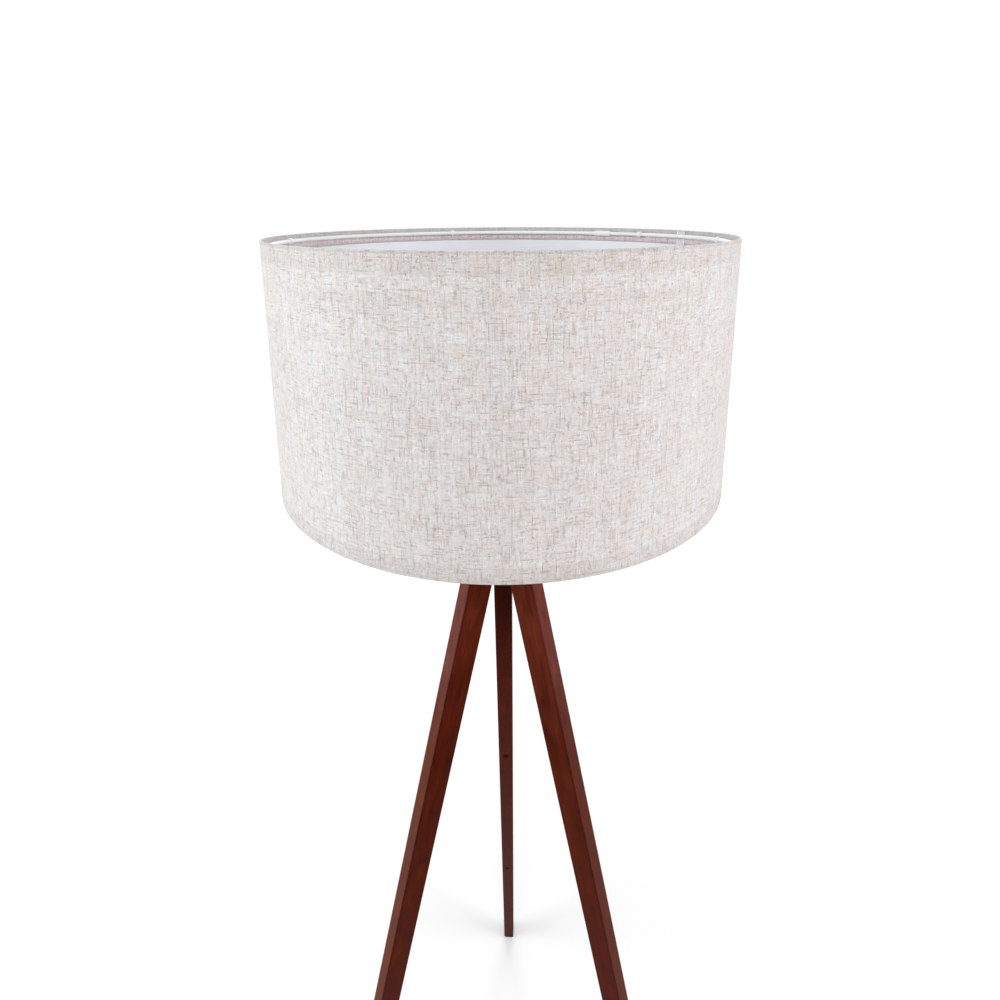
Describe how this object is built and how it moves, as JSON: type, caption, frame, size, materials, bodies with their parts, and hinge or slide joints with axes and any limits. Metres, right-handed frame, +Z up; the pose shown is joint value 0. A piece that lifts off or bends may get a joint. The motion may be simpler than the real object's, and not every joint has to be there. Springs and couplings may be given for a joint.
{
  "type": "tripod floor lamp",
  "caption": "Tripod floor lamp: a linen drum shade over spread wooden legs that fold at a metal hub, with a screw lampholder, bulb and rotary switch inside the shade.",
  "frame": {"origin": "on the lamp's axis, at floor level", "axes": "+Z up along the lamp's axis, +Y towards the back leg, +X to the right seen from the front"},
  "size_m": [0.5638, 0.5228, 1.5024],
  "materials": {
    "linen": "slubby natural linen weave",
    "lining": "matte pale sheet",
    "clear_tape": "translucent film",
    "white_wire": "white powder coat",
    "walnut_stain": "satin reddish-brown stain",
    "bronze": "dark bronze satin",
    "zinc_steel": "zinc plated",
    "black_steel": "black oxide",
    "rubber": "matte",
    "black_plastic": "moulded",
    "porcelain": "glazed",
    "brass": "drawn",
    "opal_glass": "frosted opal",
    "bulb_metal": "bright",
    "bulb_black_glass": "glossy"
  },
  "bodies": {
    "stand": {"hub_casting": "bronze", "stem_tube": "zinc_steel", "stem_nuts": "zinc_steel", "stem_washers": "zinc_steel", "neck_sleeve": "bronze", "cord_bushing": "black_plastic", "holder_cap": "black_plastic", "holder_shell": "black_plastic", "holder_insulator": "porcelain", "screw_shell": "brass", "centre_contact": "brass", "terminal_screws": "brass", "switch_body": "black_plastic"},
    "leg_back": {"leg_back_upper": "walnut_stain", "leg_back_middle": "walnut_stain", "leg_back_lower": "walnut_stain", "leg_back_studs": "zinc_steel", "leg_back_lock_screws": "black_steel", "leg_back_pivot_bolt": "bronze", "leg_back_pivot_nut": "bronze", "leg_back_pivot_washers": "bronze", "leg_back_foot_pad": "rubber"},
    "leg_left": {"leg_left_upper": "walnut_stain", "leg_left_middle": "walnut_stain", "leg_left_lower": "walnut_stain", "leg_left_studs": "zinc_steel", "leg_left_lock_screws": "black_steel", "leg_left_pivot_bolt": "bronze", "leg_left_pivot_nut": "bronze", "leg_left_pivot_washers": "bronze", "leg_left_foot_pad": "rubber"},
    "leg_right": {"leg_right_upper": "walnut_stain", "leg_right_middle": "walnut_stain", "leg_right_lower": "walnut_stain", "leg_right_studs": "zinc_steel", "leg_right_lock_screws": "black_steel", "leg_right_pivot_bolt": "bronze", "leg_right_pivot_nut": "bronze", "leg_right_pivot_washers": "bronze", "leg_right_foot_pad": "rubber"},
    "shade": {"shade_fabric": "linen", "shade_lining": "lining", "seam_tape": "clear_tape", "top_ring": "white_wire", "ring_ferrule": "white_wire", "ring_clips": "white_wire", "spider": "white_wire"},
    "ring_nut": {"ring_nut": "black_plastic"},
    "bulb": {"bulb_globe": "opal_glass", "bulb_cap": "bulb_metal", "bulb_insulator": "bulb_black_glass", "bulb_tip": "bulb_metal"},
    "switch_knob": {"switch_knob": "black_plastic"}
  },
  "joints": [
    {"name": "leg_back_fold", "type": "hinge", "parent": "stand", "child": "leg_back", "pos_m": [0, 0.0245, 1.18738], "axis": [-1, 0, 0], "range_deg": [0, 13.4]},
    {"name": "leg_left_fold", "type": "hinge", "parent": "stand", "child": "leg_left", "pos_m": [-0.02122, -0.01225, 1.18738], "axis": [0.5, -0.866, 0], "range_deg": [0, 13.4]},
    {"name": "leg_right_fold", "type": "hinge", "parent": "stand", "child": "leg_right", "pos_m": [0.02122, -0.01225, 1.18738], "axis": [0.5, 0.866, 0], "range_deg": [0, 13.4]},
    {"name": "shade_turn", "type": "hinge", "parent": "stand", "child": "shade", "pos_m": [0, 0, 1.32138], "axis": [0, 0, 1], "continuous": true},
    {"name": "ring_nut_turn", "type": "hinge", "parent": "stand", "child": "ring_nut", "pos_m": [0, 0, 1.32138], "axis": [0, 0, 1], "range_deg": [0, 1800]},
    {"name": "bulb_turn", "type": "hinge", "parent": "stand", "child": "bulb", "pos_m": [0, 0, 1.29688], "axis": [0, 0, 1], "range_deg": [0, 1440]},
    {"name": "switch_turn", "type": "hinge", "parent": "stand", "child": "switch_knob", "pos_m": [0, 0, 1.28638], "axis": [0, -1, 0], "continuous": true}
  ]
}
